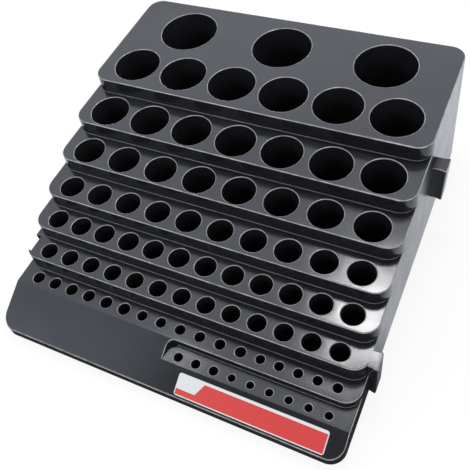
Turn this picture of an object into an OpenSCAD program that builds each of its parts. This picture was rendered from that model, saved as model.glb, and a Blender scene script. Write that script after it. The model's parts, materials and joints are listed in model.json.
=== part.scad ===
// Stepped bench rack for drill bits and cutters.
// Front towards -Y, right side towards +X, standing on its feet at Z = 0.

/* [Body] */
// Width of the top deck
top_w = 185; // [175:1:200]
// Lean of the moulded walls, in mm sideways for each mm of height
draft = 0.04; // [0:0.02:0.04]
// Radius of the upright corners
corner_r = 8; // [5:0.5:10]
// Thickness of the side walls, the back and the risers
wall = 2.2; // [1.6:0.1:2.6]
// Thickness of the decks
deck_t = 2.4; // [1.8:0.1:3]
// Wall of each socket tube
tube_wall = 1; // [0.6:0.1:1.2]
// Height of the skirt above the bench
skirt_z = 1.2; // [0.6:0.1:2]

/* [Steps] */
// Height of the lowest deck above the skirt
low_deck_h = 17; // [15:0.5:22]
// Rise from the lowest deck to the next one
low_rise = 10; // [8:0.5:14]
// Rise between the other decks
rise = 8.35; // [6:0.05:11]
// Depth of the top deck
tread_1 = 72.7; // [68:0.1:90]
// Depth of the second deck
tread_2 = 24.9; // [24.5:0.1:30]
// Depth of the third deck
tread_3 = 20.7; // [20:0.1:26]
// Depth of the fourth deck
tread_4 = 18.8; // [16.5:0.1:24]
// Depth of the fifth deck
tread_5 = 15.75; // [14.5:0.05:20]
// Depth of the sixth deck
tread_6 = 14.2; // [12.5:0.1:18]
// Depth of the lowest deck
tread_7 = 11.7; // [10.5:0.1:16]

/* [Front apron] */
// Depth of the sloping apron
apron_d = 23; // [21:0.1:30]
// Height of the upright lip at the foot of the apron
lip_h = 5.5; // [4.5:0.1:7]
// Drop from the lowest deck to the ledge in the apron
ledge_drop = 4.9; // [3.5:0.1:6]
// Distance of the ledge's left end from the middle of the rack
ledge_start = 0; // [-3:0.5:2]
// Radius of the ledge's inner corner
ledge_r = 4; // [2:0.5:5]

/* [Top deck sockets] */
// Sockets in the back row
row_1_count = 3; // [2:1:4]
// Bore of the back row
row_1_bore = 32; // [24:0.5:33]
// Side of the deck to the end socket, back row
row_1_inset = 35.5; // [25:0.5:38]
// Front of the deck to the back row
row_1_setback = 50; // [47:0.1:51]
// Sockets in the second row
row_2_count = 6; // [4:1:6]
// Bore of the second row
row_2_bore = 25.2; // [18:0.2:26]
// Side of the deck to the end socket, second row
row_2_inset = 20.1; // [18:0.1:22]
// Front of the deck to the second row
row_2_setback = 16.4; // [15:0.1:18]

/* [Middle sockets] */
// Sockets in the third row
row_3_count = 7; // [5:1:7]
// Bore of the third row
row_3_bore = 21; // [15:0.2:22]
// Side of the deck to the end socket, third row
row_3_inset = 17; // [15:0.1:19]
// Front of the deck to the third row
row_3_setback = 11.8; // [11.6:0.1:12.6]
// Sockets in the fourth row
row_4_count = 8; // [6:1:8]
// Bore of the fourth row
row_4_bore = 17; // [12:0.2:17.4]
// Side of the deck to the end socket, fourth row
row_4_inset = 14.6; // [13:0.1:17]
// Front of the deck to the fourth row
row_4_setback = 9.6; // [9.4:0.1:10.4]
// Sockets in the fifth row
row_5_count = 10; // [8:1:10]
// Bore of the fifth row
row_5_bore = 13.2; // [9:0.2:14]
// Side of the deck to the end socket, fifth row
row_5_inset = 12.8; // [11:0.1:15]
// Front of the deck to the fifth row
row_5_setback = 8.6; // [8.2:0.1:10]
// Sockets in the sixth row
row_6_count = 12; // [9:1:12]
// Bore of the sixth row
row_6_bore = 11; // [7:0.2:11.6]
// Side of the deck to the end socket, sixth row
row_6_inset = 11.3; // [10.5:0.1:14]
// Front of the deck to the sixth row
row_6_setback = 7.6; // [7.1:0.1:8.6]
// Sockets in the seventh row
row_7_count = 13; // [10:1:13]
// Bore of the seventh row
row_7_bore = 9.2; // [6:0.2:9.6]
// Side of the deck to the end socket, seventh row
row_7_inset = 11.9; // [11.6:0.1:14]
// Front of the deck to the seventh row
row_7_setback = 6.4; // [6:0.1:7.6]

/* [Small sockets] */
// Large sockets at the left of the eighth row
row_8_large_count = 6; // [5:1:6]
// Medium sockets in the middle of the eighth row
row_8_medium_count = 6; // [5:1:6]
// Small sockets at the right of the eighth row
row_8_small_count = 5; // [3:1:5]
// Bore of the large sockets of the eighth row
row_8_large_bore = 6.5; // [5.5:0.1:7.5]
// Bore of the medium sockets of the eighth row
row_8_medium_bore = 5.4; // [4.6:0.1:6.4]
// Bore of the small sockets of the eighth row
row_8_small_bore = 4.6; // [3.6:0.1:5.4]
// Spacing of the large and medium sockets of the eighth row
row_8_pitch = 10.9; // [10:0.05:11.2]
// Spacing of the small sockets of the eighth row
row_8_small_pitch = 9.4; // [8.6:0.05:9.8]
// Front of the deck to the eighth row
row_8_setback = 5.75; // [5:0.05:6.5]
// Large sockets at the left of the ledge
row_9_large_count = 3; // [1:1:3]
// Small sockets at the right of the ledge
row_9_small_count = 6; // [3:1:6]
// Bore of the large sockets of the ledge
row_9_large_bore = 4.7; // [3.6:0.1:5.2]
// Bore of the small sockets of the ledge
row_9_small_bore = 3.8; // [2.8:0.1:4.4]
// Spacing of the sockets of the ledge
row_9_pitch = 9.57; // [8.5:0.01:9.8]
// Back of the ledge to its row of sockets
row_9_setback = 5.9; // [5:0.1:6.5]
// Side of the deck to the right-hand end of the two small rows
small_row_inset = 8.7; // [7.5:0.1:11]

/* [Side links] */
// Width of the neck of each link rail
neck_w = 8; // [6:0.2:9]
// How far the rail's dovetail flares past its neck, each side
tail_flare = 0.75; // [0.6:0.15:1.2]
// Length of the dovetail
tail_l = 3; // [2.4:0.2:3]
// How far the lower rail stands out past the skirt
lower_rail_out = 3.2; // [3.2:0.1:4]
// How far the upper rail stands out past the skirt
upper_rail_out = 5; // [4.4:0.1:5.4]
// Play between a rail and its channel, each side
link_play = 0.2; // [0.15:0.05:0.3]
// Gap between the end of a rail and the back of its channel
end_gap = 1.2; // [0.4:0.1:1.4]
// Wall of the channels
channel_wall = 3.1; // [2.4:0.1:3.6]
// Depth of the block that holds each channel
channel_d = 9; // [8.6:0.1:9.3]
// Middle of the upper link, behind the front of the top deck
upper_link_y = 13; // [12:0.5:30]
// Lower end of the upper rail above the skirt
upper_rail_z = 26.1; // [18:0.1:28]
// Length of the upper rail
upper_rail_h = 21.6; // [16:0.1:26]

/* [Bottom cover] */
// Thickness of the bottom cover
cover_t = 2; // [1.6:0.1:3]
// Gap between the cover and the skirt
cover_gap = 0.25; // [0.15:0.05:0.5]
// Diameter of the screw bosses
boss_d = 7; // [6:0.2:8]
// Inset of the screw bosses from the outer walls
boss_inset = 7.2; // [6.5:0.1:9]
// Shank of the cover screws
screw_d = 2.9; // [2.2:0.1:3.2]
// Length of the cover screws
screw_l = 6.5; // [5:0.1:7]
// Head of the cover screws
screw_head_d = 5.5; // [5:0.1:6]
// Diameter of the feet
foot_d = 12; // [8:0.5:14]
// Depth of the recess that each foot sits in
foot_recess = 0.8; // [0.4:0.1:1]
// Inset of the feet from the outer walls
foot_inset = 22; // [19:0.5:28]

/* [Label] */
// Length of the label
label_w = 75.3; // [50:0.1:80]
// Height of the label up the slope
label_h = 10.8; // [8:0.1:11.5]
// Thickness of the label
label_t = 0.25; // [0.15:0.05:0.4]
// Radius of the label's corners
label_r = 1.2; // [0.6:0.1:2]
// Side of the apron to the label's right end
label_inset = 8.6; // [7:0.1:12]
// Front of the apron to the label's lower edge
label_setback = 1.4; // [1.2:0.1:2]

/* [Hidden] */
$fn = 64;

// A cut runs this far past the face that it opens
cut = 1;
// Longer than any part of the rack
far = 400;
treads = [tread_1, tread_2, tread_3, tread_4, tread_5, tread_6, tread_7];
last_tier = len(treads);

// Height of a tier's deck, counted from 1 at the top
function deck_z(k) = skirt_z + low_deck_h + (k < last_tier ? low_rise + (last_tier - 1 - k) * rise : 0);
// Front edge of a tier's deck, measured from the foot of the lip
function front_y(k) = k >= last_tier ? apron_d : front_y(k + 1) + treads[k];
// Height that a tier stands on: the deck or ledge in front of it
function foot_z(k) = k == last_tier ? ledge_z : deck_z(k + 1);
// Half of the body's width at a height
function half_w(z) = top_w / 2 + draft * (deck_z(1) - z);

back_y = front_y(1) + tread_1;
ledge_z = deck_z(last_tier) - ledge_drop;
cover_z = skirt_z + cover_t;
base_half = half_w(skirt_z);
base_depth = back_y + draft * (deck_z(1) - skirt_z);

// The slope runs from the lowest deck's front edge to the top of the lip
lip_y = draft * lip_h;
lip_z = skirt_z + lip_h;
slope = (deck_z(last_tier) - lip_z) / (apron_d - lip_y);
slope_deg = atan(slope);
function slope_z(y) = lip_z + slope * (y - lip_y);

// Evenly spaced places of a row between two end insets
function row_x(count, inset) = [for (i = [0 : count - 1])
    (top_w / 2 - inset) * (2 * i / (count - 1) - 1)];
// One bore for each place of a row
function same(count, value) = [for (i = [1 : count]) value];

// The two small rows are set out from the right-hand end
row_end = top_w / 2 - small_row_inset;
small_start = row_end - (row_8_small_count - 1) * row_8_small_pitch;
medium_end = small_start - (row_8_pitch + row_8_small_pitch) / 2;
row_8_coarse = row_8_large_count + row_8_medium_count;
row_8_x = concat([for (i = [row_8_coarse - 1 : -1 : 0]) medium_end - i * row_8_pitch],
    [for (i = [0 : row_8_small_count - 1]) small_start + i * row_8_small_pitch]);
row_8_bores = concat(same(row_8_large_count, row_8_large_bore), same(row_8_medium_count, row_8_medium_bore),
    same(row_8_small_count, row_8_small_bore));
row_9_count = row_9_large_count + row_9_small_count;
row_9_x = [for (i = [row_9_count - 1 : -1 : 0]) row_end - i * row_9_pitch];
row_9_bores = concat(same(row_9_large_count, row_9_large_bore), same(row_9_small_count, row_9_small_bore));

// Each row: its tier, its distance from the lip, its places and its bores
apron = last_tier + 1;
rows = [
    [1, front_y(1) + row_1_setback, row_x(row_1_count, row_1_inset), same(row_1_count, row_1_bore)],
    [1, front_y(1) + row_2_setback, row_x(row_2_count, row_2_inset), same(row_2_count, row_2_bore)],
    [2, front_y(2) + row_3_setback, row_x(row_3_count, row_3_inset), same(row_3_count, row_3_bore)],
    [3, front_y(3) + row_4_setback, row_x(row_4_count, row_4_inset), same(row_4_count, row_4_bore)],
    [4, front_y(4) + row_5_setback, row_x(row_5_count, row_5_inset), same(row_5_count, row_5_bore)],
    [5, front_y(5) + row_6_setback, row_x(row_6_count, row_6_inset), same(row_6_count, row_6_bore)],
    [6, front_y(6) + row_7_setback, row_x(row_7_count, row_7_inset), same(row_7_count, row_7_bore)],
    [last_tier, front_y(last_tier) + row_8_setback, row_8_x, row_8_bores],
    [apron, apron_d - row_9_setback, row_9_x, row_9_bores]
];

// Links: when two racks touch at their skirts, each dovetail lies inside the channel's lips
neck_half = neck_w / 2;
tail_half = neck_half + tail_flare;
root_x = top_w / 2 - wall;
mouth_half = neck_half + link_play;
web_half = mouth_half + tail_flare / tail_l * (tail_l + end_gap);
channel_x = base_half - channel_d;
channel_half = web_half + channel_wall;
link_tier = last_tier - 1;
lower_link_y = front_y(link_tier) + channel_half;
high_link_y = front_y(1) + upper_link_y;
high_rail_z = skirt_z + upper_rail_z;
high_rail_top = high_rail_z + upper_rail_h;
high_slot_top = high_rail_top + link_play;
low_link_top = deck_z(link_tier);

// The rack's box is centred on the origin
centre = [-upper_rail_out / 2, -base_depth / 2, 0];

// Screws and feet, as left and right pairs at the front and the back
boss_x = base_half - boss_inset;
boss_y = [boss_inset, base_depth - boss_inset];
foot_x = base_half - foot_inset;
foot_y = [foot_inset, base_depth - foot_inset];
head_h = (screw_head_d - screw_d) / 2;

// Places that stand in pairs at the front and the back
module at_corners(x, ys) {
    for (side = [-1, 1])
        for (y = ys)
            translate([side * x, y, 0])
                children();
}

// Body between its leaning side walls, from one distance to another
module wall_block(y0, y1, z0, z1, inset = 0) {
    w0 = half_w(z0) - inset;
    w1 = half_w(z1) - inset;
    translate([0, y1, 0])
        rotate([90, 0, 0])
            linear_extrude(y1 - y0)
                polygon([[-w0, z0], [w0, z0], [w1, z1], [-w1, z1]]);
}

// Profile in the YZ plane, drawn out evenly both ways along X
module across(half) {
    translate([-half, 0, 0])
        rotate([90, 0, 90])
            linear_extrude(2 * half)
                children();
}

// Body with a leaning front and round front corners; the edge is given at one height.
// A side named as square keeps its sharp corner.
module round_front(edge_y, edge_z, z0, z1, y1, inset = 0, square_side = 0) {
    axis_x = half_w(edge_z) - corner_r;
    axis_y = edge_y + corner_r;
    r0 = corner_r - inset + draft * (edge_z - z0);
    r1 = corner_r - inset + draft * (edge_z - z1);
    wall_block(axis_y, y1, z0, z1, inset);
    across(axis_x)
        polygon([[axis_y - r0, z0], [y1, z0], [y1, z1], [axis_y - r1, z1]]);
    for (side = [-1, 1])
        if (side == square_side)
            intersection() {
                wall_block(edge_y - cut, axis_y + cut, z0, z1, inset);
                translate([side * (axis_x + far), 0, 0])
                    across(far + cut)
                        polygon([[axis_y - r0, z0], [axis_y + cut, z0], [axis_y + cut, z1], [axis_y - r1, z1]]);
            }
        else
            translate([side * axis_x, axis_y, z0])
                intersection() {
                    cylinder(h = z1 - z0, r1 = r0, r2 = r1);
                    translate([-far, -far, 0])
                        cube([2 * far, far, far]);
                }
}

// Body with a leaning back and round back corners
module round_back(y0, z0, z1, inset = 0) {
    mirror([0, 1, 0])
        round_front(-back_y, deck_z(1), z0, z1, -y0, inset);
}

// Outside of a tier: square where the next deck meets it, round above that deck
module tier_outside(k, y1) {
    wall_block(front_y(k), y1, skirt_z, foot_z(k));
    round_front(front_y(k), deck_z(k), foot_z(k), deck_z(k), y1, 0, k == last_tier ? -1 : 0);
}

// Hollow of a tier, under its deck and behind its riser
module tier_hollow(k, y1) {
    roof_z = foot_z(k) - deck_t;
    wall_block(front_y(k) - cut, y1, skirt_z - cut, roof_z, wall);
    round_front(front_y(k), deck_z(k), roof_z - cut, deck_z(k) - deck_t, y1, wall);
}

// Socket tubes, or their bores, of the rows in one tier
module sockets(k, z0, z1, extra = 0) {
    for (row = rows)
        if (row[0] == k)
            for (i = [0 : len(row[2]) - 1])
                translate([row[2][i], row[1], z0])
                    cylinder(h = z1 - z0, d = row[3][i] + 2 * extra);
}

// Posts that take the cover screws
module bosses(z1) {
    at_corners(boss_x, boss_y)
        translate([0, 0, cover_z])
            cylinder(h = z1 - cover_z, d = boss_d);
}

// Holes in the posts
module pilots() {
    at_corners(boss_x, boss_y)
        translate([0, 0, skirt_z])
            cylinder(h = screw_l, d = screw_d);
}

// Block in the left wall that holds a link channel
module link_block(y, z1) {
    translate([-far, y - channel_half, skirt_z - cut])
        cube([far - channel_x, 2 * channel_half, z1 - skirt_z + cut]);
}

// Openings for the upper channel, and for the rail's neck in the right wall
module high_link_cuts() {
    link_block(high_link_y, high_slot_top + channel_wall);
    translate([root_x, high_link_y - neck_half, high_rail_z])
        cube([far, neck_w, upper_rail_h]);
}

// Openings for the lower channel and rail, through the sixth tier's deck
module low_link_cuts() {
    link_block(lower_link_y, low_link_top + cut);
    translate([root_x, lower_link_y - neck_half, skirt_z - cut])
        cube([far, neck_w, low_link_top - skirt_z + 2 * cut]);
}

// One of the tiers behind the front apron
module tier(k) {
    y1 = k == 1 ? back_y - tread_1 / 2 : front_y(k - 1);
    color("#26272a")
        translate(centre)
            difference() {
                union() {
                    tier_outside(k, y1);
                    if (k == 1)
                        round_back(y1, skirt_z, deck_z(k));
                }
                difference() {
                    union() {
                        tier_hollow(k, y1 + cut);
                        if (k == 1)
                            round_back(y1 + cut, skirt_z - cut, deck_z(k) - deck_t, wall);
                    }
                    sockets(k, cover_z, deck_z(k), tube_wall);
                    if (k == 1)
                        bosses(deck_z(k));
                }
                sockets(k, cover_z - cut, deck_z(k) + cut);
                if (k == 1)
                    pilots();
                if (k == 1)
                    high_link_cuts();
                if (k == link_tier || k == link_tier - 1)
                    low_link_cuts();
            }
}

// Rows 1 and 2, with the back wall
module top_tier() {
    tier(1);
}

module second_tier() {
    tier(2);
}

module third_tier() {
    tier(3);
}

module fourth_tier() {
    tier(4);
}

module fifth_tier() {
    tier(5);
}

module sixth_tier() {
    tier(6);
}

module seventh_tier() {
    tier(7);
}

// Space over the ledge, with a round inner corner
module ledge_cut() {
    translate([ledge_start, -far, ledge_z])
        cube([far, far + apron_d - ledge_r, far]);
    translate([ledge_start + ledge_r, -far, ledge_z])
        cube([far, far + apron_d + cut, far]);
    translate([ledge_start + ledge_r, apron_d - ledge_r, ledge_z])
        cylinder(h = far, r = ledge_r);
}

// Sloping front with the lip at its foot and the ledge for the smallest bits
module front_apron() {
    riser_foot_y = apron_d - draft * ledge_drop;
    start_y = -corner_r;
    color("#26272a")
        translate(centre)
            difference() {
                intersection() {
                    round_front(0, skirt_z, skirt_z, deck_z(last_tier), apron_d);
                    across(far)
                        polygon([[start_y, skirt_z], [apron_d, skirt_z], [apron_d, ledge_z], [riser_foot_y, ledge_z],
                            [apron_d, deck_z(last_tier)], [start_y, slope_z(start_y)]]);
                }
                ledge_cut();
                difference() {
                    intersection() {
                        round_front(0, skirt_z, skirt_z - cut, deck_z(last_tier), apron_d + cut, wall);
                        across(far)
                            polygon([[start_y, skirt_z - cut], [apron_d + cut, skirt_z - cut],
                                [apron_d + cut, ledge_z - deck_t], [riser_foot_y - wall, ledge_z - deck_t],
                                [riser_foot_y - wall, slope_z(riser_foot_y - wall) - deck_t],
                                [start_y, slope_z(start_y) - deck_t]]);
                    }
                    translate([ledge_start - wall, -far, ledge_z - deck_t])
                        cube([far, 2 * far, far]);
                    sockets(apron, cover_z, ledge_z, tube_wall);
                    bosses(deck_z(last_tier));
                }
                sockets(apron, cover_z - cut, ledge_z + cut);
                pilots();
            }
}

// Upright rail: a neck, let into the wall, that ends in a dovetail
module rail(y, z0, z1, out) {
    end_x = base_half + out;
    tail_x = end_x - tail_l;
    color("#26272a")
        translate(centre + [0, y, z0])
            linear_extrude(z1 - z0)
                polygon([[root_x, -neck_half], [tail_x, -neck_half], [end_x, -tail_half], [end_x, tail_half],
                    [tail_x, neck_half], [root_x, neck_half]]);
}

// Rail on the right wall, under the top tier
module upper_link_rail() {
    rail(high_link_y, high_rail_z, high_rail_top, upper_rail_out);
}

// Rail on the right wall, level with the sixth tier's deck
module lower_link_rail() {
    rail(lower_link_y, skirt_z, low_link_top, lower_rail_out);
}

// Slot for the next rack's rail: a narrow mouth that widens to the slot's back
module channel_slot(y, z1, out) {
    web_x = base_half - out - end_gap;
    flare_x = base_half - out + tail_l;
    translate([0, y, skirt_z - cut])
        linear_extrude(z1 - skirt_z + cut)
            polygon([[-far, -mouth_half], [-flare_x, -mouth_half], [-web_x, -web_half], [-web_x, web_half],
                [-flare_x, mouth_half], [-far, mouth_half]]);
}

// Channel in the left wall, under the top tier
module upper_link_channel() {
    color("#26272a")
        translate(centre)
            difference() {
                intersection() {
                    wall_block(front_y(1), back_y, skirt_z, deck_z(1));
                    link_block(high_link_y, high_slot_top + channel_wall);
                }
                channel_slot(high_link_y, high_slot_top, upper_rail_out);
            }
}

// Channel in the left wall, open at the sixth tier's deck
module lower_link_channel() {
    color("#26272a")
        translate(centre)
            difference() {
                intersection() {
                    tier_outside(link_tier, front_y(link_tier - 2));
                    link_block(lower_link_y, low_link_top + cut);
                }
                channel_slot(lower_link_y, low_link_top + cut, lower_rail_out);
            }
}

// Screw, head down, from the underside of the cover
module screw(play = 0) {
    translate([0, 0, skirt_z]) {
        cylinder(h = head_h, d1 = screw_head_d + 2 * play, d2 = screw_d + 2 * play);
        cylinder(h = screw_l, d = screw_d + 2 * play);
    }
}

// Plate that closes the underside and carries the sockets' floors
module bottom_cover() {
    inset = wall + cover_gap;
    middle = base_depth / 2;
    color("#1f2022")
        translate(centre)
            difference() {
                union() {
                    round_front(0, skirt_z, skirt_z, cover_z, middle, inset);
                    round_back(middle - cut, skirt_z, cover_z, inset);
                }
                at_corners(boss_x, boss_y)
                    screw(cover_gap);
                at_corners(foot_x, foot_y)
                    cylinder(h = skirt_z + foot_recess, d = foot_d + 2 * cover_gap);
                for (y = [lower_link_y, high_link_y])
                    translate([-far, y - channel_half - cover_gap, 0])
                        cube([far - channel_x + cover_gap, 2 * (channel_half + cover_gap), far]);
                translate([root_x - cover_gap, lower_link_y - neck_half - cover_gap, 0])
                    cube([far, neck_w + 2 * cover_gap, far]);
            }
}

// Self-tapping screws that hold the cover
module cover_screws() {
    color("#b9bcc0")
        translate(centre)
            at_corners(boss_x, boss_y)
                screw();
}

// Rubber foot, with its rim eased where it meets the bench
module foot(side, end) {
    rim = foot_recess / 2;
    color("#3a3a3a")
        translate(centre + [side * foot_x, foot_y[end], 0]) {
            cylinder(h = rim, d1 = foot_d - 2 * rim, d2 = foot_d);
            translate([0, 0, rim])
                cylinder(h = skirt_z + foot_recess - rim, d = foot_d);
        }
}

module front_left_foot() {
    foot(-1, 0);
}

module front_right_foot() {
    foot(1, 0);
}

module rear_left_foot() {
    foot(-1, 1);
}

module rear_right_foot() {
    foot(1, 1);
}

// Sticker on the slope, below the ledge
module label() {
    x1 = base_half - label_inset;
    color("#d8433f")
        translate(centre + [x1 - label_w, label_setback, slope_z(label_setback)])
            rotate([slope_deg, 0, 0])
                linear_extrude(label_t)
                    union() {
                        translate([label_r, 0])
                            square([label_w - 2 * label_r, label_h]);
                        translate([0, label_r])
                            square([label_w, label_h - 2 * label_r]);
                        for (x = [label_r, label_w - label_r])
                            for (y = [label_r, label_h - label_r])
                                translate([x, y])
                                    circle(label_r);
                    }
}

top_tier();
second_tier();
third_tier();
fourth_tier();
fifth_tier();
sixth_tier();
seventh_tier();
front_apron();
upper_link_rail();
lower_link_rail();
upper_link_channel();
lower_link_channel();
bottom_cover();
cover_screws();
front_left_foot();
front_right_foot();
rear_left_foot();
rear_right_foot();
label();
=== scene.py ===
"""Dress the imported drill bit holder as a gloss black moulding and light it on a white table.

Sizes are in millimetres in the body's own frame: X from the middle of the body, Y from the
foot of the front lip, Z from the table. Meshes are written in metres in the frame of the CAD.
"""

from __future__ import annotations

import json
import logging
import math
from dataclasses import dataclass, field
from enum import Enum
from typing import Callable, Iterable, Sequence

import bmesh
import bpy
from mathutils import Matrix, Quaternion, Vector
from mathutils.geometry import tessellate_polygon


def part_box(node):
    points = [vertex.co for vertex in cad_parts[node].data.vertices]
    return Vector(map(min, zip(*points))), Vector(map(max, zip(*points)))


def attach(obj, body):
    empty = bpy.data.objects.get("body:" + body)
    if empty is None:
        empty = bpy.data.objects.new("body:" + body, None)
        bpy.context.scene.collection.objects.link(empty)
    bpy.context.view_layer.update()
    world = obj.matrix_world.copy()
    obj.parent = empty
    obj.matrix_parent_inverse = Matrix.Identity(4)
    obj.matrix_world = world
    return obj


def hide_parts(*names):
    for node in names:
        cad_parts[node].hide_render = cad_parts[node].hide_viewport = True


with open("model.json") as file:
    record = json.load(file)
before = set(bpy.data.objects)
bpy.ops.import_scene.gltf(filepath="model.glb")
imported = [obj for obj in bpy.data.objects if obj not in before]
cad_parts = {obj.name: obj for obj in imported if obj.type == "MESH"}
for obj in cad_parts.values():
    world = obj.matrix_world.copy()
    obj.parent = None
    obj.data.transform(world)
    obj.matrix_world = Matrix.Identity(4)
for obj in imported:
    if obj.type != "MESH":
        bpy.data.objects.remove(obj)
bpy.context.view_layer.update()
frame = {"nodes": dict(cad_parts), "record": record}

LOG = logging.getLogger("drill_bit_holder")
MM = 0.001
BODY = "root"
# Point attribute for the pale colour along edges and riser feet: a painted highlight, with some
# edge wear.
PALE = "pale_edge"
IMAGE_SIDE_PX = 470
WELD = 0.002
SHORTEST_EDGE = 0.001
LEAST_AREA = 1e-6

Point = tuple[float, float, float]
Plan = tuple[float, float]
Colour = tuple[float, float, float]

BLACK: Colour = (0.0, 0.0, 0.0)
WHITE: Colour = (1.0, 1.0, 1.0)


class Slot(Enum):
    """Names of the record's material slots; the pieces are not given them."""

    BODY = "body"
    SCREWS = "screws"


class Side(Enum):
    """The two side walls, as the sign of X."""

    LEFT = -1
    RIGHT = 1


class Wire:
    """A shader value or link whose operators add Math nodes."""

    def __init__(self, tree: bpy.types.NodeTree, socket: bpy.types.NodeSocket) -> None:
        """Hold one output socket of a node tree."""
        self.tree = tree
        self.socket = socket

    def _math(
        self, operation: str, first: Wire | float, second: Wire | float, clamp: bool = False
    ) -> Wire:
        """Add a Math node.

        Args:
            operation: Name of the Math node's operation.
            first: Left-hand value.
            second: Right-hand value.
            clamp: Whether the result is kept between 0 and 1.

        Returns:
            The node's result.
        """
        node = self.tree.nodes.new("ShaderNodeMath")
        node.operation = operation
        node.use_clamp = clamp
        for slot, value in zip(node.inputs, (first, second)):
            if isinstance(value, Wire):
                self.tree.links.new(value.socket, slot)
            else:
                slot.default_value = value
        return Wire(self.tree, node.outputs[0])

    def __add__(self, other: Wire | float) -> Wire:
        """Return self + other."""
        return self._math("ADD", self, other)

    def __radd__(self, other: float) -> Wire:
        """Return other + self."""
        return self._math("ADD", other, self)

    def __sub__(self, other: Wire | float) -> Wire:
        """Return self - other."""
        return self._math("SUBTRACT", self, other)

    def __rsub__(self, other: float) -> Wire:
        """Return other - self."""
        return self._math("SUBTRACT", other, self)

    def __mul__(self, other: Wire | float) -> Wire:
        """Return self * other."""
        return self._math("MULTIPLY", self, other)

    def __rmul__(self, other: float) -> Wire:
        """Return other * self."""
        return self._math("MULTIPLY", other, self)

    def above(self, limit: Wire | float) -> Wire:
        """Return 1 where the value is over a limit and 0 elsewhere."""
        return self._math("GREATER_THAN", self, limit)

    def below(self, limit: Wire | float) -> Wire:
        """Return 1 where the value is under a limit and 0 elsewhere."""
        return self._math("LESS_THAN", self, limit)

    def ramp(self, low: float, high: float) -> Wire:
        """Return the value mapped from low..high to 0..1, clamped."""
        return self._math("MULTIPLY", self - low, 1.0 / (high - low), clamp=True)

    def clamped(self) -> Wire:
        """Return the value kept between 0 and 1."""
        return self.ramp(0.0, 1.0)


@dataclass(frozen=True)
class Grain:
    """A noise pattern; the values low and high become 0 and 1."""

    per_metre: float
    detail: float = 2.0
    low: float = 0.0
    high: float = 1.0
    stretch: Point | None = None


@dataclass(frozen=True)
class Relief:
    """A fine relief; its height is in mm."""

    strength: float
    height: float


class Graph:
    """A node tree that is filled by short calls."""

    def __init__(self, tree: bpy.types.NodeTree) -> None:
        """Empty a node tree and hold it."""
        self.tree = tree
        tree.nodes.clear()

    def node(
        self, kind: str, settings: dict[str, object] | None = None, **sockets: object
    ) -> bpy.types.Node:
        """Add a node of any type.

        Args:
            kind: The node's type name without its ShaderNode prefix.
            settings: Properties of the node, set before its sockets.
            **sockets: Values or wires by socket name, with _ for a space.

        Returns:
            The new node.
        """
        node = self.tree.nodes.new("ShaderNode" + kind)
        for key, value in (settings or {}).items():
            setattr(node, key, value)
        for key, value in sockets.items():
            self.feed(node, key.replace("_", " "), value)
        return node

    def feed(self, node: bpy.types.Node, name: str | int, value: object) -> None:
        """Set or link one input socket.

        Args:
            node: The node that has the socket.
            name: The socket's name, or its number where two have one name.
            value: A wire to link, or the socket's value.
        """
        if isinstance(name, int):
            slot = node.inputs[name]
        else:
            slot = next(s for s in node.inputs if s.name == name and s.enabled)
        if isinstance(value, Wire):
            self.tree.links.new(value.socket, slot)
        else:
            slot.default_value = value

    def wire(self, node: bpy.types.Node, name: str | int = 0) -> Wire:
        """Return one output of a node."""
        return Wire(self.tree, node.outputs[name])


class Painter(Graph):
    """Builds one material's node tree round a Principled shader."""

    def __init__(self, name: str) -> None:
        """Make a material with an empty Principled shader.

        Args:
            name: The material's name.
        """
        self.material = bpy.data.materials.new(name)
        self.material.use_nodes = True
        super().__init__(self.material.node_tree)
        self.output = self.node("OutputMaterial")
        self.shader = self.node("BsdfPrincipled")
        self.feed(self.output, "Surface", self.wire(self.shader))

    def place(self) -> Wire:
        """Return the point on the piece, in metres in the frame of the CAD."""
        return self.wire(self.node("TexCoord"), "Object")

    def facing(self) -> Wire:
        """Return the direction that the surface faces, in the frame of the CAD."""
        return self.wire(self.node("TexCoord"), "Normal")

    def axis(self, name: str) -> Wire:
        """Return one coordinate of the point on the piece, in mm in the frame of the CAD."""
        return self.wire(self.node("SeparateXYZ", Vector=self.place()), name) * (1.0 / MM)

    def stretched(self, scale: Point) -> Wire:
        """Return the point on the piece, scaled apart along each axis.

        Args:
            scale: Factor along each axis.

        Returns:
            The scaled point.
        """
        mapped = self.node("VectorMath", {"operation": "MULTIPLY"})
        self.feed(mapped, 0, self.place())
        self.feed(mapped, 1, scale)
        return self.wire(mapped)

    def noise(self, grain: Grain) -> Wire:
        """Return a noise pattern before its low and high values are mapped.

        Args:
            grain: The pattern.

        Returns:
            The noise, around 0.5 all over.
        """
        at = self.stretched(grain.stretch) if grain.stretch else self.place()
        node = self.node("TexNoise", Vector=at, Scale=grain.per_metre, Detail=grain.detail)
        return self.wire(node)

    def grain(self, grain: Grain) -> Wire:
        """Return a noise pattern from 0 to 1."""
        return self.noise(grain).ramp(grain.low, grain.high)

    def mix(self, factor: Wire, low: Colour | Wire, high: Colour | Wire) -> Wire:
        """Blend two colours.

        Args:
            factor: 0 for the first colour and 1 for the second.
            low: The first colour.
            high: The second colour.

        Returns:
            The blended colour.
        """
        node = self.node("Mix", {"data_type": "RGBA"}, Factor=factor)
        for name, colour in (("A", low), ("B", high)):
            self.feed(node, name, colour if isinstance(colour, Wire) else (*colour, 1.0))
        return self.wire(node, next(i for i, s in enumerate(node.outputs) if s.enabled))

    def bump(self, pattern: Wire, relief: Relief) -> None:
        """Raise the surface where a pattern is high.

        Args:
            pattern: The pattern.
            relief: How far it stands out.
        """
        depth = relief.height * MM
        node = self.node("Bump", Height=pattern, Strength=relief.strength, Distance=depth)
        self.feed(self.shader, "Normal", self.wire(node, "Normal"))

    def surface(self, **sockets: object) -> bpy.types.Material:
        """Set the shader's sockets.

        Args:
            **sockets: Values or wires by socket name, with _ for a space.

        Returns:
            The finished material.
        """
        for key, value in sockets.items():
            self.feed(self.shader, key.replace("_", " "), value)
        return self.material


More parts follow.
